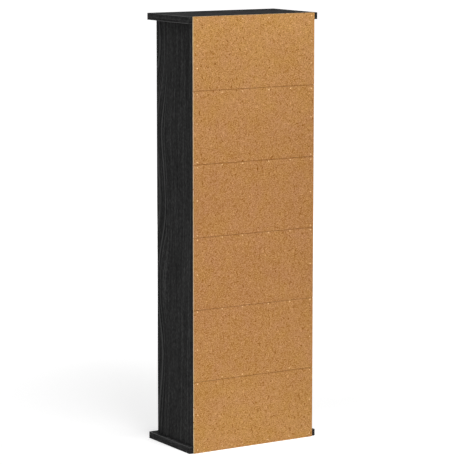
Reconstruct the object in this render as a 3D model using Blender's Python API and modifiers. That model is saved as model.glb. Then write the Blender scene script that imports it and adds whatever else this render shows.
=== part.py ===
"""CD cabinet: a tall, narrow, open-fronted shelf tower of dark oak-grain boards.

Two side panels stand between a top and a bottom board that overhang them, five fixed
shelves divide the height into equal compartments for compact disc cases, and six thin
hardboard strips close the rear. Cam locks, cam bolts and dowels hold the boards together.

Run it with: blender --background --python part.py
Units are metres, +Z is up, -Y is the open front, and the floor is at z = 0.
"""

import math

import bmesh
import bpy
from mathutils import Matrix, Vector

# Overall form
HEIGHT = 1.000                # floor to the top of the top board
BOARD = 0.016                 # thickness of every particleboard panel
END_WIDTH = 0.346             # top and bottom boards, across
END_DEPTH = 0.185             # top and bottom boards, front to rear
SIDE_OVERHANG = 0.010         # top and bottom boards past the side panels' outer faces
FRONT_OVERHANG = 0.024        # top and bottom boards past the side panels' front edges
SHELF_COUNT = 5
SHELF_SETBACK = 0.003         # shelf front edge behind the side panels' front edges
EDGE_BEVEL = 0.0010           # softened arris of the boards' edges

# Back
STRIP_COUNT = 6               # hardboard strips stacked up the rear
STRIP_THICK = 0.003
STRIP_SEAM = 0.0007           # gap between two strips

# Clearances
SEAT_GAP = 0.0003             # between pieces that touch
HOLE_FIT = 0.0003             # round a dowel, bolt or cam lock in its hole
HOLE_END = 0.0005             # past the end of what a blind hole holds

# Joining hardware
FACE_BITE = 0.011             # how far dowels and bolts go into a board's face
FITTING_SETBACK = 0.037       # outer fittings from the front and rear edges of their board
DOWEL_RADIUS = 0.004
DOWEL_LENGTH = 0.030
DOWEL_CHAMFER = 0.0008
CAM_RADIUS = 0.0075
CAM_FLOOR = 0.0035            # board left under a cam lock's pocket
CAM_INSET = 0.024             # cam lock's axis from the end of its board
CAM_CHAMFER = 0.0005
SLOT_LENGTH = 0.0076          # cross recess for the screwdriver
SLOT_WIDTH = 0.0015
SLOT_DEPTH = 0.0022
BOLT_RADIUS = 0.0032          # cam bolt's shank and the outside of its thread
NECK_RADIUS = 0.0014
HEAD_RADIUS = 0.0024
HEAD_LENGTH = 0.0030
THREAD_GROOVES = 3
THREAD_CUT = 0.0008           # depth of the thread's grooves

# Roundness
ROUND_SIDES = 12              # dowels, bolts and their holes
CAM_SIDES = 20                # cam locks and their pockets
SMOOTH_ANGLE = 40.0           # degrees: edges that turn less are shaded smooth

# Places that follow from the sizes
HALF_OUTER = END_WIDTH / 2 - SIDE_OVERHANG
HALF_INNER = HALF_OUTER - BOARD
FRONT_Y = -(END_DEPTH + SEAT_GAP + STRIP_THICK) / 2
REAR_Y = FRONT_Y + END_DEPTH
PANEL_FRONT_Y = FRONT_Y + FRONT_OVERHANG
SHELF_FRONT_Y = PANEL_FRONT_Y + SHELF_SETBACK
SHELF_PITCH = (HEIGHT - BOARD) / (SHELF_COUNT + 1)
STRIP_PITCH = HEIGHT / STRIP_COUNT
CAM_HEIGHT = BOARD - CAM_FLOOR - HOLE_END
MIDDLE_SHELF = (SHELF_COUNT + 1) // 2

UP = Vector((0, 0, 1))
RIGHT = Vector((1, 0, 0))

bores = {}      # board to the holes drilled into its faces and ends
pockets = {}    # board to its cam lock pockets


def clear_scene():
    for obj in list(bpy.data.objects):
        bpy.data.objects.remove(obj, do_unlink=True)


def make_collection(name):
    collection = bpy.data.collections.new(name)
    bpy.context.scene.collection.children.link(collection)
    return collection


def make_material(name, colour, roughness, metallic=0.0):
    material = bpy.data.materials.new(name)
    material.use_nodes = True
    shader = material.node_tree.nodes["Principled BSDF"]
    shader.inputs["Base Color"].default_value = (*colour, 1.0)
    shader.inputs["Roughness"].default_value = roughness
    shader.inputs["Metallic"].default_value = metallic
    material.diffuse_color = (*colour, 1.0)
    return material


def mesh_from(bm, name):
    """The mesh made in bm, smooth round its cylinders and sharp at their ends."""
    mesh = bpy.data.meshes.new(name)
    bm.to_mesh(mesh)
    bm.free()
    mesh.shade_smooth()
    mesh.set_sharp_from_angle(angle=math.radians(SMOOTH_ANGLE))
    return mesh


def add_piece(name, mesh, material):
    """A piece of the cabinet, in its collection and under its empty."""
    mesh.materials.append(material)
    obj = bpy.data.objects.new(name, mesh)
    parts.objects.link(obj)
    obj.parent = cabinet
    return obj


def add_cutter(name, mesh):
    """A shape that is only there to be taken away from a piece."""
    obj = bpy.data.objects.new(name, mesh)
    cutters.objects.link(obj)
    obj.display_type = "WIRE"
    obj.hide_render = True
    return obj


def subtract(obj, cutter):
    cut = obj.modifiers.new(cutter.name, "BOOLEAN")
    cut.operation = "DIFFERENCE"
    cut.solver = "EXACT"
    cut.object = cutter


def chamfer(obj, width, least_turn=30.0):
    """Bevel the edges whose faces turn by more than least_turn degrees."""
    bevel = obj.modifiers.new("chamfer", "BEVEL")
    bevel.width = width
    bevel.segments = 1
    bevel.limit_method = "ANGLE"
    bevel.angle_limit = math.radians(least_turn)


def turn_to(along, towards=None):
    """The rotation that takes +Z to along, and +Y to towards where that is given."""
    if towards is None:
        return UP.rotation_difference(along).to_matrix()
    return Matrix((towards.cross(along), towards, along)).transposed()


def place(obj, origin, turn):
    obj.location = origin
    obj.rotation_euler = turn.to_euler()


def box_mesh(name, size):
    bm = bmesh.new()
    bmesh.ops.create_cube(bm, size=1.0)
    bmesh.ops.scale(bm, vec=size, verts=bm.verts)
    return mesh_from(bm, name)


def add_cylinder(bm, start, along, radius, length, sides):
    """A closed cylinder in bm that runs from start in the direction along."""
    made = bmesh.ops.create_cone(
        bm, cap_ends=True, segments=sides, radius1=radius, radius2=radius, depth=length
    )
    bmesh.ops.rotate(bm, matrix=turn_to(along), verts=made["verts"])
    bmesh.ops.translate(bm, vec=start + along * length / 2, verts=made["verts"])


def cylinder_mesh(name, start, along, radius, length, sides):
    bm = bmesh.new()
    add_cylinder(bm, start, along, radius, length, sides)
    return mesh_from(bm, name)


def add_board(name, low, high, material):
    """A flat board between two opposite corners."""
    low = Vector(low)
    high = Vector(high)
    board = add_piece(name, box_mesh(name, high - low), material)
    board.location = (low + high) / 2
    return board


def add_panel(name, low, high):
    """A particleboard panel, with its edges softened."""
    panel = add_board(name, low, high, black_oak)
    chamfer(panel, EDGE_BEVEL)
    return panel


def plan_hole(table, board, mouth, inward, radius, depth):
    """Note a round hole that runs from its mouth into the board."""
    table.setdefault(board, []).append((mouth, inward, radius, depth))


def drill(table, label, sides):
    """Cut the holes noted for each board. Each drill starts outside its hole's mouth."""
    for board, holes in table.items():
        bm = bmesh.new()
        for mouth, inward, radius, depth in holes:
            add_cylinder(bm, mouth - inward * radius, inward, radius, depth + radius, sides)
        name = f"{board.name}_{label}"
        subtract(board, add_cutter(name, mesh_from(bm, name)))


def add_dowel(name, face_board, edge_board, mouth, along):
    """A wooden dowel across a joint. Along runs from the face board into the edge board."""
    dowel = add_piece(
        name,
        cylinder_mesh(name, Vector(), UP, DOWEL_RADIUS, DOWEL_LENGTH, ROUND_SIDES),
        beech,
    )
    chamfer(dowel, DOWEL_CHAMFER, least_turn=60.0)
    place(dowel, mouth - along * FACE_BITE, turn_to(along))
    radius = DOWEL_RADIUS + HOLE_FIT
    edge_bite = DOWEL_LENGTH - FACE_BITE
    plan_hole(bores, face_board, mouth, -along, radius, FACE_BITE + HOLE_END)
    plan_hole(bores, edge_board, mouth, along, radius, edge_bite + HOLE_END)


def bolt_profile():
    """Radius and height of the cam bolt's points, from its head down to its thread's tip."""
    cam_axis = FACE_BITE + SEAT_GAP + CAM_INSET
    head_top = cam_axis + HEAD_LENGTH / 2
    head_low = cam_axis - HEAD_LENGTH / 2
    shank_end = cam_axis - CAM_RADIUS - HOLE_FIT
    shoulder = BOLT_RADIUS - NECK_RADIUS
    rim = (HEAD_RADIUS - NECK_RADIUS) / 2
    points = [
        (0.0, head_top),
        (HEAD_RADIUS - rim, head_top),
        (HEAD_RADIUS, head_top - rim),
        (HEAD_RADIUS, head_low + rim),
        (NECK_RADIUS, head_low),
        (NECK_RADIUS, shank_end),
        (BOLT_RADIUS, shank_end - shoulder),
        (BOLT_RADIUS, FACE_BITE),
    ]
    pitch = (FACE_BITE - shoulder) / THREAD_GROOVES
    for groove in range(THREAD_GROOVES):
        crest = FACE_BITE - groove * pitch
        points.append((BOLT_RADIUS - THREAD_CUT, crest - pitch / 2))
        points.append((BOLT_RADIUS, crest - pitch))
    points.append((NECK_RADIUS, 0.0))
    points.append((0.0, 0.0))
    return points


def add_turned(name, profile, material):
    """A turned piece, from a profile that runs down its outer side."""
    bm = bmesh.new()
    verts = [bm.verts.new((radius, 0.0, height)) for radius, height in profile]
    for upper, lower in zip(verts, verts[1:]):
        bm.edges.new((upper, lower))
    piece = add_piece(name, mesh_from(bm, name), material)
    screw = piece.modifiers.new("turned", "SCREW")
    screw.axis = "Z"
    screw.steps = ROUND_SIDES
    screw.render_steps = ROUND_SIDES
    screw.use_merge_vertices = True
    screw.merge_threshold = 0.00001
    screw.use_smooth_shade = True
    return piece


def add_cam_lock(name, board, centre, outward, towards_end):
    """A cam lock in a board's face: outward leaves the face, towards_end is the bolt's way."""
    cam = add_piece(
        name,
        cylinder_mesh(name, Vector(), -UP, CAM_RADIUS, CAM_HEIGHT, CAM_SIDES),
        zinc,
    )
    turn = turn_to(outward, towards_end)
    place(cam, centre, turn)
    chamfer(cam, CAM_CHAMFER, least_turn=60.0)

    rim = CAM_RADIUS + HOLE_END
    depth = rim + HEAD_LENGTH / 2 + HOLE_END
    bolt_way = cylinder_mesh(
        f"{name}_bolt_way",
        Vector((0, rim, -BOARD / 2)),
        Vector((0, -1, 0)),
        HEAD_RADIUS + HOLE_FIT,
        depth,
        ROUND_SIDES,
    )
    cuts = [
        bolt_way,
        box_mesh(f"{name}_slot_across", (SLOT_LENGTH, SLOT_WIDTH, SLOT_DEPTH * 2)),
        box_mesh(f"{name}_slot_along", (SLOT_WIDTH, SLOT_LENGTH, SLOT_DEPTH * 2)),
    ]
    for mesh in cuts:
        cutter = add_cutter(mesh.name, mesh)
        place(cutter, centre, turn)
        subtract(cam, cutter)
    plan_hole(pockets, board, centre, -outward, CAM_RADIUS + HOLE_FIT, CAM_HEIGHT + HOLE_END)


def add_cam_joint(label, face_board, edge_board, mouth, along, outward):
    """A cam bolt in the face board, drawn in by a cam lock in the edge board."""
    bolt = add_turned(f"cam_bolt_{label}", bolt_profile(), steel)
    place(bolt, mouth - along * FACE_BITE, turn_to(along))
    to_cam = SEAT_GAP + CAM_INSET
    radius = BOLT_RADIUS + HOLE_FIT
    plan_hole(bores, face_board, mouth, -along, radius, FACE_BITE + HOLE_END)
    plan_hole(bores, edge_board, mouth, along, radius, to_cam)
    centre = mouth + along * to_cam + outward * BOARD / 2
    add_cam_lock(f"cam_lock_{label}", edge_board, centre, outward, -along)


def add_end_boards():
    half = END_WIDTH / 2
    boards = {}
    for end, low_z in (("bottom", 0.0), ("top", HEIGHT - BOARD)):
        boards[end] = add_panel(
            f"{end}_board",
            (-half, FRONT_Y, low_z),
            (half, REAR_Y, low_z + BOARD),
        )
    return boards


def add_side_panels():
    panels = {}
    for side, sign in (("left", -1), ("right", 1)):
        left_x, right_x = sorted((sign * HALF_INNER, sign * HALF_OUTER))
        panels[side] = add_panel(
            f"side_panel_{side}",
            (left_x, PANEL_FRONT_Y, BOARD + SEAT_GAP),
            (right_x, REAR_Y, HEIGHT - BOARD - SEAT_GAP),
        )
    return panels


def shelf_middle_z(number):
    """Height of the middle of a shelf's thickness. Shelf 1 is the highest."""
    return HEIGHT - BOARD / 2 - number * SHELF_PITCH


def add_shelves():
    shelves = {}
    half = HALF_INNER - SEAT_GAP
    for number in range(1, SHELF_COUNT + 1):
        middle = shelf_middle_z(number)
        shelves[number] = add_panel(
            f"shelf_{number}",
            (-half, SHELF_FRONT_Y, middle - BOARD / 2),
            (half, REAR_Y, middle + BOARD / 2),
        )
    return shelves


def add_back_strips():
    """Hardboard strips over the whole rear, flush with the floor and the top at its ends."""
    near = REAR_Y + SEAT_GAP
    for number in range(1, STRIP_COUNT + 1):
        high = HEIGHT - (number - 1) * STRIP_PITCH
        low = high - STRIP_PITCH
        if number > 1:
            high -= STRIP_SEAM / 2
        if number < STRIP_COUNT:
            low += STRIP_SEAM / 2
        add_board(
            f"back_strip_{number}",
            (-HALF_OUTER, near, low),
            (HALF_OUTER, near + STRIP_THICK, high),
            hardboard,
        )


def join_ends(end_boards, panels):
    """Fix each side panel to the top and bottom boards: two cam joints and a dowel."""
    middle_y = (PANEL_FRONT_Y + REAR_Y) / 2
    rows = (("front", PANEL_FRONT_Y + FITTING_SETBACK), ("rear", REAR_Y - FITTING_SETBACK))
    for end, sign_z, face_z in (("top", -1, HEIGHT - BOARD), ("bottom", 1, BOARD)):
        for side, sign_x in (("left", -1), ("right", 1)):
            axis_x = sign_x * (HALF_INNER + BOARD / 2)
            pair = (end_boards[end], panels[side])
            label = f"{end}_{side}"
            along = UP * sign_z
            add_dowel(f"dowel_{label}", *pair, Vector((axis_x, middle_y, face_z)), along)
            for row, y in rows:
                mouth = Vector((axis_x, y, face_z))
                add_cam_joint(f"{label}_{row}", *pair, mouth, along, -RIGHT * sign_x)


def join_shelves(shelves, panels):
    """Fix the shelves to the side panels: cam joints at the middle one, dowels at the rest."""
    rows = (("front", SHELF_FRONT_Y + FITTING_SETBACK), ("rear", REAR_Y - FITTING_SETBACK))
    for number, shelf in shelves.items():
        for side, sign in (("left", -1), ("right", 1)):
            for row, y in rows:
                mouth = Vector((sign * HALF_INNER, y, shelf_middle_z(number)))
                along = -RIGHT * sign
                label = f"shelf_{number}_{side}_{row}"
                if number == MIDDLE_SHELF:
                    add_cam_joint(label, panels[side], shelf, mouth, along, -UP)
                else:
                    add_dowel(f"dowel_{label}", panels[side], shelf, mouth, along)


clear_scene()
parts = make_collection("cd_cabinet")
cutters = make_collection("cutters")
cabinet = bpy.data.objects.new("cd_cabinet", None)
parts.objects.link(cabinet)

black_oak = make_material("black_oak", (0.022, 0.022, 0.022), 0.45)
hardboard = make_material("hardboard", (0.50, 0.25, 0.088), 0.70)
beech = make_material("beech", (0.60, 0.38, 0.18), 0.60)
zinc = make_material("zinc", (0.50, 0.51, 0.52), 0.35, metallic=1.0)
steel = make_material("steel", (0.60, 0.59, 0.57), 0.30, metallic=1.0)

end_boards = add_end_boards()
side_panels = add_side_panels()
shelf_boards = add_shelves()
add_back_strips()
join_ends(end_boards, side_panels)
join_shelves(shelf_boards, side_panels)
drill(bores, "bores", ROUND_SIDES)
drill(pockets, "pockets", CAM_SIDES)
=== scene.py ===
"""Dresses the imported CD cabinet: edge-banded black-oak boards, the nailed strip hardboard back
with its foil hinge, and the cam locks, bolts and dowels that hold the boards together.

Lengths are metres in the cabinet's own frame: +Z up, the open front towards -Y.
Colours are linear light.
"""

import math

import bmesh
import bpy
from mathutils import Matrix, Vector


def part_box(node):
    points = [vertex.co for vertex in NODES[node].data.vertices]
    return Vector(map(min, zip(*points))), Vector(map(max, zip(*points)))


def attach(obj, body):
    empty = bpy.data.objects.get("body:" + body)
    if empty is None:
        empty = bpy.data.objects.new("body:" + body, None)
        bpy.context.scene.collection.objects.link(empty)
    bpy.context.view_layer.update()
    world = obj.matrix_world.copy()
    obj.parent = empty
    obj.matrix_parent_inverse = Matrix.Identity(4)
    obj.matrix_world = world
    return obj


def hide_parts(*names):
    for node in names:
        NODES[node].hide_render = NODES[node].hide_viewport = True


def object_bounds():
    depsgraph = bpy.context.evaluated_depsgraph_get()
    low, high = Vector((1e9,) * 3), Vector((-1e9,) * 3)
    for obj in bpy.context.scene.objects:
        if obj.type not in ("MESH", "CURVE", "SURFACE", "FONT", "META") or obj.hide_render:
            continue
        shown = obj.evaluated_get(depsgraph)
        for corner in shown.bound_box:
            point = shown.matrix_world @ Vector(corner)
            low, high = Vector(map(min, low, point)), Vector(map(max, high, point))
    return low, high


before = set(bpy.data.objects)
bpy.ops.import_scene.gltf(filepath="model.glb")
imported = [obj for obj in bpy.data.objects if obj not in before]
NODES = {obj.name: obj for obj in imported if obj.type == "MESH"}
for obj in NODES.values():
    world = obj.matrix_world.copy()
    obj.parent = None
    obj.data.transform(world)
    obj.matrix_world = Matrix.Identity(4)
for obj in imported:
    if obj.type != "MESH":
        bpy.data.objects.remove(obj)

CAD_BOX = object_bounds()
BODY = "root"
X, Y, Z = range(3)
MERGE = 1e-6               # corners nearer than this are one
SQUARE = 0.99              # a face whose normal has this much of an axis is square to it
BROAD = 0.5                # with more along the thickness, a face is broad or a chamfer beside one
LEAN = 0.1                 # a face whose normal has more than this of an axis leans towards it

# Grain: the axis it follows, where the figure's arches start on that axis, and where their middle
# runs, across it
END_GRAIN = (X, -0.35, -0.04)
SIDE_GRAIN = (Z, 1.1, -0.102)
SHELF_GRAIN = (X, 0.4, 0.02)
FOIL_GRAIN = (Z, -0.12, -0.04)
BAND_HEART = 0.2           # far enough beside the arches for the bands' grain to run straight
FIRST_SEED = 1.0
SEED_STEP = 3.3            # from one board to the next
FOIL_SEED = 47.0

# Boards
BAND = 0.0011              # thickness of the edge bands
INWARD = (BAND, -BAND)     # that thickness, inward from the low and from the high end of an axis
ARRIS = 0.0009             # rounding of the bands' outer edges
ARRIS_STEPS = 3
BOARD_SHARP = 40.0         # degrees of turn above which an edge stays sharp
CLEARANCE = 0.002          # how far the box that trims a board stands off its unbanded sides

# Bands: side, axis that it faces along, end of that axis, what the bands beside it cover at its
# ends, whether its short edges are rounded too, and what it adds to the board's seed
END_BANDS = (
    ("front", Y, 0, 0.0, True, 0.13),
    ("rear", Y, 1, 0.0, True, 1.13),
    ("left", X, 0, BAND, False, 0.37),
    ("right", X, 1, BAND, False, 1.37),
)
SIDE_BANDS = (
    ("front", Y, 0, 0.0, False, 0.29),
    ("rear", Y, 1, 0.0, False, 1.29),
)
SHELF_BANDS = (
    ("front", Y, 0, 0.0, False, 0.17),
)
BOARDS = (   # names, grain, what the panel adds to the seed, bands
    (("top_board", "bottom_board"), END_GRAIN, 0.0, END_BANDS),
    (("side_panel_left", "side_panel_right"), SIDE_GRAIN, 0.74, SIDE_BANDS),
    ([f"shelf_{i}" for i in range(1, 6)], SHELF_GRAIN, 0.0, SHELF_BANDS),
)

# Back
STRIPS = [f"back_strip_{i}" for i in range(1, 7)]
STRIP_SHARP = 30.0
CUT_EDGE = 0.00025         # broken edge of the sawn hardboard
FOIL_THICK = 0.00012       # paper foil on the hardboard's inner face
CREASE = 0.0004            # how far the foil tucks into a seam
SEAM_LIP = 0.0002          # how far from a seam it begins to turn in
REAR = CAD_BOX[1].y        # the hardboard's outer face

# Painted light and shade on the hardboard by height, darker in the middle than at the floor and the
# top: a factor in red, green and blue, at the floor, per metre, per metre squared
PAINTED_LIGHT_BASE = (1.023, 1.083, 1.031)
PAINTED_LIGHT_SLOPE = (-0.478, -0.806, -0.531)
PAINTED_LIGHT_BEND = (0.545, 0.865, 0.619)
MARK_SHARE = (0.47, 0.29, 0.0)    # a dark mark's colour, as shares of the hardboard's mean
CHIP_RISE = 1.6                   # how many swings a pale chip lies above the mean

# Dark slivers: turn in degrees, seed, cells per metre along and across, share of bare cells, and
# largest size in cells
SLIVERS = (
    (28.0, 0.0, 22.0, 62.0, 0.35, 0.075),
    (-56.0, 3.1, 22.0, 62.0, 0.35, 0.075),
    (82.0, 7.7, 22.0, 62.0, 0.35, 0.075),
    (12.0, 5.3, 9.0, 70.0, 0.80, 0.080),
    (-75.0, 9.9, 9.0, 70.0, 0.80, 0.080),
)

# Nails, in x and z as measured off the photograph
NAIL_COLUMNS = (0.087, 0.032, -0.0385, -0.098)        # between the side columns
NAIL_ROWS = (0.992, 0.828, 0.663, 0.497, 0.3305, 0.172, 0.0085)
SIDE_COLUMNS = (0.153, -0.155)                        # into the side panels
SIDE_HEIGHTS = (0.993, 0.935, 0.8845, 0.8255, 0.759, 0.672, 0.6605, 0.5845,
                0.5055, 0.495, 0.415, 0.3295, 0.2415, 0.162, 0.0895, 0.008)
NAILS = [(x, z) for z in NAIL_ROWS for x in NAIL_COLUMNS]
NAILS += [(x, z) for z in SIDE_HEIGHTS for x in SIDE_COLUMNS]
NAIL_STEPS = 20
NAIL_SHARP = 35.0
# Radius and depth below the hardboard's face, from the middle of the head to the point
NAIL_PROFILE = ((0.0, 0.00002), (0.0007, 0.00005), (0.00125, 0.00016),
                (0.0015, 0.00034), (0.0015, 0.0005), (0.00075, 0.0006),
                (0.00065, 0.0009), (0.00065, 0.0150), (0.0, 0.0175))
# The dent that driving the nail leaves, closed above the face so that it can be cut out
DENT_PROFILE = ((0.0, 0.00056), (0.0016, 0.0005), (0.0021, 0.00026),
                (0.0025, -0.0001), (0.0025, -0.001), (0.0, -0.001))

# Fittings: how their nodes' names start, and their material
FITTINGS = (("cam_lock", "zinc"), ("cam_bolt", "steel"), ("dowel", "beech"))
METAL_SWING = 0.12         # how far a metal's tone strays, as a share of its colour


# Node trees

MIX_A, MIX_B, MIX_RESULT = 6, 7, 2    # the Mix node's colour sockets
WHITE = (1.0, 1.0, 1.0, 1.0)


def grey(level):
    return (level, level, level)


class Graph:
    """A node tree that is built with short calls.

    Inputs may be values or other nodes' outputs, and scales are per metre.
    """

    def __init__(self, tree):
        self.tree = tree

    def put(self, socket, value):
        if isinstance(value, bpy.types.NodeSocket):
            self.tree.links.new(value, socket)
        else:
            socket.default_value = value

    def add(self, kind, inputs=None, **settings):
        """A new node with its settings, and its inputs by socket name or number."""
        node = self.tree.nodes.new("ShaderNode" + kind)
        for name, value in settings.items():
            setattr(node, name, value)
        for key, value in (inputs or {}).items():
            self.put(node.inputs[key], value)
        return node

    def math(self, operation, a, b=0.0):
        return self.add("Math", {0: a, 1: b}, operation=operation).outputs[0]

    def times(self, a, b):
        return self.math("MULTIPLY", a, b)

    def less(self, a, b):
        return self.math("SUBTRACT", a, b)

    def spread(self, value, gain):
        """A noise's distance from its middle, times gain."""
        return self.times(self.less(value, 0.5), gain)

    def total(self, *values):
        found = values[0]
        for value in values[1:]:
            found = self.math("ADD", found, value)
        return found

    def scaled(self, vector, by):
        return self.add("VectorMath", {0: vector, 1: by}, operation="MULTIPLY").outputs[0]

    def moved(self, vector, by):
        return self.add("VectorMath", {0: vector, 1: by}, operation="ADD").outputs[0]

    def turned(self, vector, degrees, stretch):
        """A vector turned about its third axis and then scaled."""
        inputs = {"Vector": vector, "Rotation": (0.0, 0.0, math.radians(degrees))}
        return self.scaled(self.add("Mapping", inputs).outputs[0], stretch)

    def split(self, vector):
        return self.add("SeparateXYZ", {0: vector}).outputs

    def joined(self, x, y, z=0.0):
        return self.add("CombineXYZ", {0: x, 1: y, 2: z}).outputs[0]

    def noise(self, vector, scale=1.0, detail=2.0, roughness=0.5, output="Fac"):
        inputs = {"Vector": vector, "Scale": scale, "Detail": detail, "Roughness": roughness}
        return self.add("TexNoise", inputs).outputs[output]

    def noise_line(self, along, scale, detail, roughness):
        """Noise along one number."""
        inputs = {"W": along, "Scale": scale, "Detail": detail, "Roughness": roughness}
        return self.add("TexNoise", inputs, noise_dimensions="1D").outputs["Fac"]

    def cells(self, vector, scale=1.0, dimensions="3D"):
        """The distance to the middle of the nearest cell, and that cell's random colour."""
        inputs = {"Vector": vector, "Scale": scale}
        node = self.add("TexVoronoi", inputs, voronoi_dimensions=dimensions)
        return node.outputs["Distance"], node.outputs["Color"]

    def ramp(self, value, low, high, to_low=0.0, to_high=1.0, smooth=False):
        """to_low for values up to low, to_high for values from high, and a slope between."""
        inputs = {"Value": value, "From Min": low, "From Max": high,
                  "To Min": to_low, "To Max": to_high}
        kind = "SMOOTHSTEP" if smooth else "LINEAR"
        return self.add("MapRange", inputs, interpolation_type=kind).outputs["Result"]

    def blend(self, factor, a, b):
        """Colour a where factor is 0 and b where it is 1."""
        node = self.add("Mix", {0: factor}, data_type="RGBA")
        for index, colour in ((MIX_A, a), (MIX_B, b)):
            linked = isinstance(colour, bpy.types.NodeSocket)
            self.put(node.inputs[index], colour if linked else (*colour, 1.0))
        return node.outputs[MIX_RESULT]

    def colours(self, value, stops):
        """A colour ramp with the (position, colour) stops."""
        node = self.add("ValToRGB", {0: value})
        elements = node.color_ramp.elements
        while len(elements) < len(stops):
            elements.new(0.5)
        for element, (position, colour) in zip(elements, stops, strict=True):
            element.position = position
            element.color = (*colour, 1.0)
        return node.outputs["Color"]

    def bump(self, height, distance):
        inputs = {"Height": height, "Distance": distance, "Strength": 1.0}
        return self.add("Bump", inputs).outputs["Normal"]


class Surface(Graph):
    """A Principled material. Its constants are set on the shader's own sockets."""

    def __init__(self, name, **constants):
        self.material = bpy.data.materials.new(name)
        self.material.use_nodes = True
        super().__init__(self.material.node_tree)
        self.shader = self.tree.nodes["Principled BSDF"]
        self.wear(**constants)

    def wear(self, **inputs):
        """Sets or links the shader's inputs and gives the material."""
        for key, value in inputs.items():
            self.put(self.shader.inputs[key.replace("_", " ")], value)
        return self.material

    def attribute(self, name):
        return self.add("Attribute", attribute_name=name).outputs["Vector"]

    def place(self):
        return self.add("TexCoord").outputs["Object"]


def black_oak():
    """Black-brown oak print on foil: growth lines that arch about a heart, fibre and short pores.

    It reads the grain attribute: metres along the grain from where the figure's arches start,
    metres across it from the heart, and a seed.
    """
    skin = Surface("black_oak", Specular_IOR_Level=0.014)
    grain = skin.attribute("grain")
    along, across, seed = skin.split(grain)
    wander = skin.noise(skin.scaled(grain, (3.0, 9.0, 1.0)), detail=1.0)
    sway = skin.noise(skin.joined(skin.times(along, 4.2), seed), detail=0.0)
    aside = skin.math("ABSOLUTE", across)
    near_heart = skin.ramp(aside, 0.05, 0.10, 1.0, 0.1, smooth=True)
    swayed = skin.times(skin.spread(sway, 0.110), near_heart)
    drifted = skin.total(across, skin.spread(wander, 0.014), swayed)
    rise = skin.noise(skin.joined(skin.times(along, 2.5), seed, 5.0), detail=0.0)
    depth = skin.total(skin.times(along, 0.060), skin.spread(rise, 0.04))
    squares = skin.total(skin.math("POWER", drifted, 2.0), skin.math("POWER", depth, 2.0))
    rings = skin.noise_line(skin.total(skin.math("SQRT", squares), seed), 150.0, 4.0, 0.7)
    figure = skin.ramp(aside, 0.055, 0.090, 1.0, 0.12, smooth=True)

    def fibres(lengthwise, crosswise, **settings):
        """Noise drawn out along the grain, by its scales along and across."""
        spot = skin.joined(skin.times(along, lengthwise), skin.times(drifted, crosswise), seed)
        return skin.noise(spot, **settings)

    streak = fibres(7.0, 280.0, roughness=0.6)
    dash = fibres(150.0, 420.0, roughness=0.6)
    pore = fibres(150.0, 1300.0, detail=1.0)
    pitted = skin.ramp(skin.less(pore, skin.spread(rings, 0.25)), 0.60, 0.72, smooth=True)
    light = skin.ramp(rings, 0.56, 0.66, smooth=True)
    lines = skin.times(skin.total(skin.spread(rings, 2.1), light), figure)
    tone = skin.total(lines, skin.spread(streak, 1.15), skin.spread(dash, 1.4), 0.48)
    blacks = ((0.0, grey(0.0076)), (0.5, grey(0.0243)), (1.0, grey(0.0534)))
    colour = skin.blend(skin.times(pitted, 0.6), skin.colours(tone, blacks), grey(0.0045))
    finish = skin.ramp(tone, 0.0, 1.0, 0.88, 0.72)
    height = skin.total(skin.times(pitted, -1.0), skin.spread(dash, 0.6))
    return skin.wear(Base_Color=colour, Roughness=finish, Normal=skin.bump(height, 0.00006))


def band_arris_highlight():
    """The milled rounding of an edge band: plastic, smoother than the print, and paler as a painted
    highlight along the arris.
    """
    skin = Surface("band_arris_highlight", Specular_IOR_Level=0.22)
    place = skin.place()
    cutter = skin.noise(place, 700.0, 2.0, 0.6)
    cloud = skin.noise(place, 60.0, 2.0, 0.5)
    tone = skin.total(skin.spread(cutter, 0.8), skin.spread(cloud, 0.8), 0.5)
    finish = skin.ramp(cutter, 0.3, 0.7, 0.38, 0.56)
    # Its greys, paler than the print's, paint a highlight along the arris
    return skin.wear(Base_Color=skin.blend(tone, grey(0.025), grey(0.047)), Roughness=finish,
                     Normal=skin.bump(cutter, 0.00003))


def particleboard():
    """Raw chipboard: pressed chips in several tans."""
    skin = Surface("particleboard", Roughness=0.92, Specular_IOR_Level=0.2)
    place = skin.place()
    _, chip = skin.cells(skin.scaled(place, (1.0, 1.0, 1.8)), 520.0)
    _, flake = skin.cells(skin.moved(place, (0.3, 0.1, 0.2)), 1300.0)
    tone = skin.total(skin.times(skin.split(chip)[0], 0.6), skin.times(skin.split(flake)[1], 0.4))
    tans = ((0.1, (0.22, 0.13, 0.065)), (0.5, (0.42, 0.28, 0.15)), (0.9, (0.60, 0.44, 0.27)))
    return skin.wear(Base_Color=skin.colours(tone, tans), Normal=skin.bump(tone, 0.00025))


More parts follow.
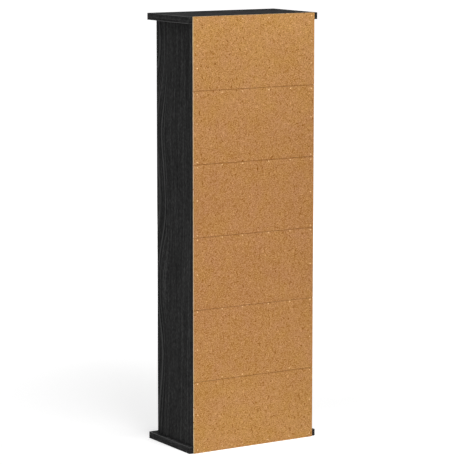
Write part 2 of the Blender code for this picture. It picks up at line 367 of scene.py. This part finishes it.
def hardboard(name, mean, swing, relief):
    """Pressed wood fibre: a fleck of short curled fibres, pale chips, dark specks and slivers,
    under painted light and shade that change with height.

    The fleck's colour strays from the mean by up to the swing.
    """
    skin = Surface(name, Specular_IOR_Level=0.2)
    mean, swing = Vector(mean), Vector(swing)
    place = skin.place()
    curl = skin.noise(place, 90.0, 1.0, output="Color")
    bent = skin.moved(place, skin.scaled(curl, (0.014, 0.0, 0.014)))
    upright = skin.noise(skin.scaled(bent, (800.0, 300.0, 200.0)), detail=1.0)
    level = skin.noise(skin.scaled(bent, (200.0, 300.0, 800.0)), detail=1.0)
    fibre = skin.math("MAXIMUM", upright, level)
    fleck = skin.noise(place, 520.0, 3.0, 0.7)
    slow = skin.noise(place, 7.0, 2.0, 0.5)
    fine = skin.total(skin.spread(fleck, 2.8), skin.spread(fibre, 2.0))
    tone = skin.total(fine, skin.spread(slow, 0.16), 0.32)
    colour = skin.colours(tone, ((0.0, mean - swing), (0.5, mean), (1.0, mean + swing)))

    hue = skin.noise(skin.moved(place, (3.0, 0.0, 1.0)), 24.0, 2.0, 0.75)
    tint = skin.blend(skin.ramp(hue, 0.3, 0.7), (0.990, 1.0, 0.865), (1.010, 1.0, 1.135))
    # Painted light and shade: the colour is scaled by a curve in height, darker in the middle than
    # at the floor and the top
    z = skin.split(place)[Z]
    up = skin.joined(z, z, z)
    slope = skin.moved(skin.scaled(up, PAINTED_LIGHT_BEND), PAINTED_LIGHT_SLOPE)
    painted_light = skin.moved(skin.scaled(slope, up), PAINTED_LIGHT_BASE)
    colour = skin.scaled(skin.scaled(colour, tint), painted_light)

    x, _, z = skin.split(skin.moved(place, skin.scaled(curl, (0.006, 0.0, 0.006))))
    flat = skin.joined(x, z)
    ragged = skin.total(skin.spread(fleck, 4.0), 1.0)
    near, speck = skin.cells(flat, 55.0, "2D")
    red, green, _ = skin.split(speck)
    inside = skin.less(skin.ramp(red, 0.35, 1.0, 0.0, 0.10), skin.times(near, ragged))
    marks = skin.ramp(inside, -0.004, 0.03, smooth=True)
    for turn, seed, along, across, bare, largest in SLIVERS:
        spot = skin.moved(skin.turned(flat, turn, (along, across, 1.0)), (seed, seed, 0.0))
        near, sliver = skin.cells(spot, dimensions="2D")
        size = skin.ramp(skin.split(sliver)[1], bare, 1.0, 0.0, largest)
        inside = skin.less(size, skin.times(near, ragged))
        marks = skin.math("MAXIMUM", marks, skin.ramp(inside, 0.0, 0.02, smooth=True))
    colour = skin.blend(marks, colour, mean * Vector(MARK_SHARE))
    near, _ = skin.cells(skin.moved(flat, (0.4, 0.9, 0.0)), 90.0, "2D")
    inside = skin.less(skin.ramp(green, 0.6, 1.0, 0.0, 0.10), near)
    chips = skin.ramp(inside, 0.0, 0.03, 0.0, 0.6, smooth=True)
    colour = skin.blend(chips, colour, mean + swing * CHIP_RISE)
    finish = skin.ramp(fleck, 0.3, 0.7, 0.72, 0.92)
    height = skin.total(fleck, skin.times(fibre, 0.7), skin.times(marks, -0.4))
    return skin.wear(Base_Color=colour, Roughness=finish, Normal=skin.bump(height, relief))


def metal(name, colour, roughness, grain, relief):
    """A plain metal with a slightly uneven tone and finish. grain is the unevenness's scale."""
    skin = Surface(name, Metallic=1.0)
    place = skin.place()
    uneven = skin.noise(place, grain, 3.0, 0.6)
    cloud = skin.noise(place, grain * 0.15, 2.0, 0.5)
    tone = skin.total(skin.spread(uneven, 1.0), skin.spread(cloud, 1.0), 0.5)
    shares = (1.0 - METAL_SWING, 1.0 + METAL_SWING)
    low, high = ([level * share for level in colour] for share in shares)
    finish = skin.ramp(uneven, 0.3, 0.7, roughness * 0.8, roughness * 1.25)
    return skin.wear(Base_Color=skin.blend(tone, low, high), Roughness=finish,
                     Normal=skin.bump(uneven, relief))


def beech():
    """Turned beech: pale straight grain along the dowel with short dark flecks."""
    skin = Surface("beech", Roughness=0.55)
    place = skin.place()
    streak = skin.noise(skin.scaled(place, (60.0, 900.0, 900.0)), detail=2.0)
    fleck = skin.noise(skin.scaled(place, (500.0, 2400.0, 2400.0)), detail=0.0)
    tans = ((0.2, (0.42, 0.25, 0.115)), (0.5, (0.58, 0.37, 0.18)), (0.8, (0.68, 0.46, 0.25)))
    flecks = skin.ramp(fleck, 0.62, 0.72, 0.0, 0.6)
    colour = skin.blend(flecks, skin.colours(streak, tans), (0.27, 0.14, 0.06))
    return skin.wear(Base_Color=colour, Normal=skin.bump(streak, 0.00008))


# Pieces

def link(name, data):
    """A new object in the scene."""
    obj = bpy.data.objects.new(name, data)
    bpy.context.scene.collection.objects.link(obj)
    return obj


def add_object(name, bm):
    """A new object with the bmesh's shape. It frees the bmesh."""
    mesh = bpy.data.meshes.new(name)
    bm.to_mesh(mesh)
    bm.free()
    return link(name, mesh)


def apply_modifiers(obj):
    bpy.context.view_layer.update()
    graph = bpy.context.evaluated_depsgraph_get()
    mesh = bpy.data.meshes.new_from_object(obj.evaluated_get(graph), depsgraph=graph)
    obj.modifiers.clear()
    obj.data = mesh
    mesh.name = obj.name


def cut(obj, cutter, operation):
    """Applies a Boolean and takes the cutter away."""
    modifier = obj.modifiers.new("cut", "BOOLEAN")
    modifier.operation = operation
    modifier.object = cutter
    apply_modifiers(obj)
    bpy.data.objects.remove(cutter)


def dress(obj, *names):
    """Gives an object these materials in place of any that it has."""
    obj.data.materials.clear()
    for name in names:
        obj.data.materials.append(MATERIALS[name])


def smooth(obj, degrees):
    """Shades an object smooth, but for the edges that turn by more than so many degrees."""
    obj.data.shade_smooth()
    obj.data.set_sharp_from_angle(angle=math.radians(degrees))


def box_bmesh(low, high):
    bm = bmesh.new()
    bmesh.ops.create_cube(bm, size=1.0)
    for vert in bm.verts:
        vert.co = [(low[i] + high[i]) / 2 + vert.co[i] * (high[i] - low[i]) for i in range(3)]
    return bm


def turned_bmesh(profile, places):
    """Closed shapes turned about axes along +Y, one at each (x, z).

    The profile is radius and depth below the hardboard's face.
    """
    bm = bmesh.new()
    for x, z in places:
        verts = [bm.verts.new((x + radius, REAR - depth, z)) for radius, depth in profile]
        edges = [bm.edges.new(pair) for pair in zip(verts, verts[1:])]
        bmesh.ops.spin(bm, geom=verts + edges, cent=(x, 0.0, z), axis=(0.0, 1.0, 0.0),
                       angle=math.tau, steps=NAIL_STEPS, use_merge=True)
    bmesh.ops.remove_doubles(bm, verts=bm.verts, dist=MERGE)
    bmesh.ops.recalc_face_normals(bm, faces=bm.faces)
    return bm


def thinnest(low, high):
    """The axis along which a box is thinnest."""
    return min(range(3), key=lambda i: high[i] - low[i])


def facing(face):
    """The axis that a face looks along."""
    return max(range(3), key=lambda i: abs(face.normal[i]))


def third(one, other):
    """The axis that is neither of these two."""
    return X + Y + Z - one - other


def lay_grain(obj, along, start, heart, seed):
    """Writes the grain attribute, which black_oak reads.

    along is the board's grain axis, start is where the figure's arches start on it, and heart is
    where their middle runs, across it.
    """
    mesh = obj.data
    layer = mesh.attributes.new("grain", "FLOAT_VECTOR", "CORNER")
    for face in mesh.polygons:
        out = facing(face)
        run = along if out != along else (along + 1) % 3
        side = third(out, run)
        for corner in face.loop_indices:
            place = mesh.vertices[mesh.loops[corner].vertex_index].co
            layer.data[corner].vector = (place[run] - start, place[side] - heart, seed)


def add_piece(obj, slot, *nodes):
    """The piece rides on the cabinet and stands for CAD nodes. slot is not used."""
    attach(obj, BODY)
    if nodes:
        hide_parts(*nodes)


def board_panel(name, grain, seed, bands):
    """A board less its bands, with the CAD's holes: foil on the broad faces, the rest chipboard."""
    low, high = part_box(name)
    thin = thinnest(low, high)
    bm = bmesh.new()
    bm.from_mesh(NODES[name].data)
    bmesh.ops.remove_doubles(bm, verts=bm.verts, dist=MERGE)
    panel = add_object(name + "_panel", bm)
    clear = Vector((CLEARANCE, CLEARANCE, CLEARANCE))
    inner = [Vector(low) - clear, Vector(high) + clear]
    for band in bands:
        axis, end = band[1:3]
        inner[end][axis] = (low, high)[end][axis] + INWARD[end]
    cut(panel, add_object("trim", box_bmesh(*inner)), "INTERSECT")
    dress(panel, "black_oak", "particleboard")
    for face in panel.data.polygons:
        inward = min(face.center[thin] - low[thin], high[thin] - face.center[thin])
        face.material_index = 0 if inward < BAND and abs(face.normal[thin]) > BROAD else 1
    smooth(panel, BOARD_SHARP)
    lay_grain(panel, *grain, seed)
    add_piece(panel, "black_oak", name)


def edge_band(node, seed, side, axis, end, taken, free_ends):
    """The band on one side of a board, rounded along its outer edges.

    taken is what the bands beside it cover at its ends, and free_ends says that its short edges
    are rounded too.
    """
    low, high = (Vector(corner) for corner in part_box(node))
    thin = thinnest(low, high)
    run = third(axis, thin)
    low[run], high[run] = low[run] + taken, high[run] - taken
    outer = (low, high)[end][axis]
    (high, low)[end][axis] = outer + INWARD[end]
    bm = box_bmesh(low, high)
    rounded = []
    for edge in bm.edges:
        first, last = (vert.co for vert in edge.verts)
        on_face = abs(first[axis] - outer) < MERGE and abs(last[axis] - outer) < MERGE
        if on_face and (free_ends or abs(first[run] - last[run]) > MERGE):
            rounded.append(edge)
    bmesh.ops.bevel(bm, geom=rounded, offset=ARRIS, segments=ARRIS_STEPS, profile=0.5,
                    affect="EDGES", clamp_overlap=True)
    band = add_object(f"{node}_band_{side}", bm)
    dress(band, "black_oak", "band_arris_highlight")
    # The rounding beside the broad faces gets the paler arris material, a painted highlight
    for face in band.data.polygons:
        rounding = max(abs(part) for part in face.normal) < SQUARE
        face.material_index = 1 if rounding and abs(face.normal[thin]) > LEAN else 0
    smooth(band, BOARD_SHARP)
    lay_grain(band, run, 0.0, BAND_HEART, seed)
    add_piece(band, "black_oak", node)


def add_boards():
    """Every board with its bands."""
    seed = FIRST_SEED
    for names, grain, shift, bands in BOARDS:
        for name in names:
            board_panel(name, grain, seed + shift, bands)
            for *band, band_shift in bands:
                edge_band(name, seed + band_shift, *band)
            seed += SEED_STEP


def add_back():
    """The hardboard strips, dented at each nail, and the nails."""
    for name in STRIPS:
        low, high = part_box(name)
        places = [(x, z) for x, z in NAILS if low.z < z < high.z]
        bm = box_bmesh(low, high)
        bmesh.ops.bevel(bm, geom=list(bm.edges), offset=CUT_EDGE, segments=1, affect="EDGES")
        strip = add_object(name + "_board", bm)
        cut(strip, add_object("dents", turned_bmesh(DENT_PROFILE, places)), "DIFFERENCE")
        dress(strip, "hardboard", "hardboard_edge", "hardboard_seam")
        for face in strip.data.polygons:
            height = face.center.z
            outer = min(height - CAD_BOX[0].z, CAD_BOX[1].z - height) < CUT_EDGE
            # Cut faces inside the seams take the darker seam colour, which paints their shade; the
            # outer edges take the open edge colour
            face.material_index = 1 if outer else (1, 0, 2)[facing(face)]
        smooth(strip, STRIP_SHARP)
        add_piece(strip, "hardboard", name)
        nails = add_object(name.replace("strip", "nails"), turned_bmesh(NAIL_PROFILE, places))
        dress(nails, "nail")
        smooth(nails, NAIL_SHARP)
        add_piece(nails, "steel")


def add_foil():
    """One sheet of foil that hinges the strips on their inner face, tucked into each seam."""
    low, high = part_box(STRIPS[-1])[0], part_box(STRIPS[0])[1]
    inner = low.y
    line = [(inner, high.z)]
    for upper, lower in zip(STRIPS, STRIPS[1:]):
        top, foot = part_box(upper)[0].z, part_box(lower)[1].z
        line.append((inner, top + SEAM_LIP))
        line.append((inner + CREASE, (top + foot) / 2))
        line.append((inner, foot - SEAM_LIP))
    line.append((inner, low.z))
    bm = bmesh.new()
    rows = [[bm.verts.new((x, y, z)) for x in (low.x, high.x)] for y, z in line]
    for upper, lower in zip(rows, rows[1:]):
        bm.faces.new((upper[0], upper[1], lower[1], lower[0]))
    bmesh.ops.recalc_face_normals(bm, faces=bm.faces)
    foil = add_object("back_foil", bm)
    thick = foil.modifiers.new("thickness", "SOLIDIFY")
    thick.thickness = FOIL_THICK
    thick.offset = -1.0 if foil.data.polygons[0].normal.y > 0 else 1.0
    apply_modifiers(foil)
    dress(foil, "black_oak", "hardboard_seam")
    for face in foil.data.polygons:
        face.material_index = 1 if face.normal.y > LEAN else 0
    lay_grain(foil, *FOIL_GRAIN, FOIL_SEED)
    add_piece(foil, "black_oak")


def dress_fittings():
    """Cam locks, cam bolts and dowels keep their CAD shapes and get their metals and wood."""
    for name, node in NODES.items():
        for start, material in FITTINGS:
            if name.startswith(start):
                dress(node, material)


# Studio

FLOOR_SIZE = 60.0
FLOOR_DROP = 0.0002                  # keeps the floor off the cabinet's underside
FLOOR_SHADE = 0.80                   # share of the light that it gives back
FLOOR_FADE = (0.4, 2.5)              # metres from the middle between which its glow changes
FLOOR_GLOW = (0.50, 0.86)            # its glow inside the first, and beyond the second
SKY = 0.28                           # strength of the sky's light
LAMPS = (   # name, place, aim, width, height, spread in degrees, watts
    ("key", (0.25, 1.5, 2.0), (0.0, 0.1, 0.8), 1.0, 1.0, 180.0, 17.2),
    ("floor_pool", (0.1, 0.6, 1.7), (0.1, 0.56, 0.0), 0.3, 0.3, 50.0, 1.6),
    ("right_fill", (3.0, 0.9, 0.8), (0.0, 0.0, 0.5), 0.8, 1.2, 180.0, 33.5),
    ("left_fill", (-3.0, 0.9, 0.8), (0.0, 0.0, 0.5), 0.8, 1.2, 180.0, 38.0),
    ("front", (-0.4, -3.6, 0.75), (0.0, 0.0, 0.6), 1.6, 0.4, 180.0, 45.0),
)
CAMERA_PLACE = (2.8544, 4.5625, 1.3086)
CAMERA_TURN = (32.026, 8.665, 0.043)    # yaw, pitch and roll in degrees
CAMERA_LENS = 180.753                # millimetres, as is the sensor
CAMERA_SENSOR = 36.0


def seen(graph):
    """1 for the rays that show the background: to the camera, in metal and through glass."""
    path = graph.add("LightPath").outputs
    shown = path["Is Camera Ray"]
    for ray in ("Is Glossy Ray", "Is Transmission Ray"):
        shown = graph.math("MAXIMUM", shown, path[ray])
    return shown


def make_floor():
    """A pale floor that keeps the cabinet's shadow and shows white where it is fully lit."""
    bm = bmesh.new()
    bmesh.ops.create_grid(bm, x_segments=1, y_segments=1, size=FLOOR_SIZE / 2)
    floor = add_object("floor", bm)
    floor.location.z = -FLOOR_DROP
    material = bpy.data.materials.new("floor")
    material.use_nodes = True
    graph = Graph(material.node_tree)
    graph.tree.nodes.clear()
    lit = graph.add("BsdfDiffuse", {"Color": (*grey(FLOOR_SHADE), 1.0)})
    place = graph.add("TexCoord").outputs["Object"]
    away = graph.add("VectorMath", {0: place}, operation="LENGTH").outputs["Value"]
    strength = graph.times(seen(graph), graph.ramp(away, *FLOOR_FADE, *FLOOR_GLOW, smooth=True))
    glow = graph.add("Emission", {"Color": WHITE, "Strength": strength})
    both = graph.add("AddShader", {0: lit.outputs[0], 1: glow.outputs[0]})
    graph.add("OutputMaterial", {"Surface": both.outputs[0]})
    floor.data.materials.append(material)


def make_world():
    """A plain soft sky that lights the cabinet, and shows white behind it."""
    world = bpy.data.worlds.new("studio")
    world.use_nodes = True
    bpy.context.scene.world = world
    graph = Graph(world.node_tree)
    graph.tree.nodes.clear()
    sky = graph.add("Background", {"Color": WHITE, "Strength": SKY})
    white = graph.add("Background", {"Color": WHITE, "Strength": 1.0})
    both = graph.add("MixShader", {0: seen(graph), 1: sky.outputs[0], 2: white.outputs[0]})
    graph.add("OutputWorld", {"Surface": both.outputs[0]})


def make_lamps():
    for name, place, aim, width, height, spread, watts in LAMPS:
        data = bpy.data.lights.new(name, "AREA")
        data.shape = "RECTANGLE"
        data.size, data.size_y, data.energy = width, height, watts
        data.spread = math.radians(spread)
        lamp = link(name, data)
        lamp.location = place
        lamp.rotation_euler = (Vector(aim) - Vector(place)).to_track_quat("-Z", "Y").to_euler()
        lamp.visible_camera = False


def make_camera():
    """The photograph's view: from behind the +X corner and a little above, with a long lens."""
    yaw, pitch, roll = (math.radians(angle) for angle in CAMERA_TURN)
    ahead = math.cos(pitch)
    look = Vector((-math.sin(yaw) * ahead, -math.cos(yaw) * ahead, -math.sin(pitch)))
    data = bpy.data.cameras.new("camera")
    data.sensor_width = CAMERA_SENSOR
    data.lens = CAMERA_LENS
    camera = link("camera", data)
    turn = look.to_track_quat("-Z", "Y").to_matrix().to_4x4() @ Matrix.Rotation(roll, 4, "Z")
    camera.matrix_world = Matrix.Translation(CAMERA_PLACE) @ turn
    bpy.context.scene.camera = camera


HARDBOARDS = (   # name, mean colour, swing, relief
    ("hardboard", (0.515, 0.254, 0.0848), (0.200, 0.145, 0.0765), 0.00012),
    ("hardboard_edge", (0.70, 0.52, 0.32), (0.150, 0.130, 0.100), 0.00024),
    # The seam colour is the cut fibre made darker and redder than at the open edges: painted shade
    # in the seams between the strips, and on the foil's back seen through them
    ("hardboard_seam", (0.520, 0.225, 0.056), (0.120, 0.065, 0.020), 0.00024),
)
METALS = (       # name, colour, roughness, scale of the unevenness, relief
    ("nail", (0.77, 0.51, 0.25), 0.40, 900.0, 0.00004),
    ("zinc", (0.50, 0.51, 0.52), 0.48, 1400.0, 0.00006),
    ("steel", (0.60, 0.59, 0.57), 0.30, 700.0, 0.00002),
)
MATERIALS = {
    "black_oak": black_oak(),
    "band_arris_highlight": band_arris_highlight(),
    "particleboard": particleboard(),
    **{row[0]: hardboard(*row) for row in HARDBOARDS},
    **{row[0]: metal(*row) for row in METALS},
    "beech": beech(),
}

bpy.context.scene.view_settings.view_transform = "Standard"
make_camera()
add_boards()
add_back()
add_foil()
dress_fittings()
make_floor()
make_world()
make_lamps()
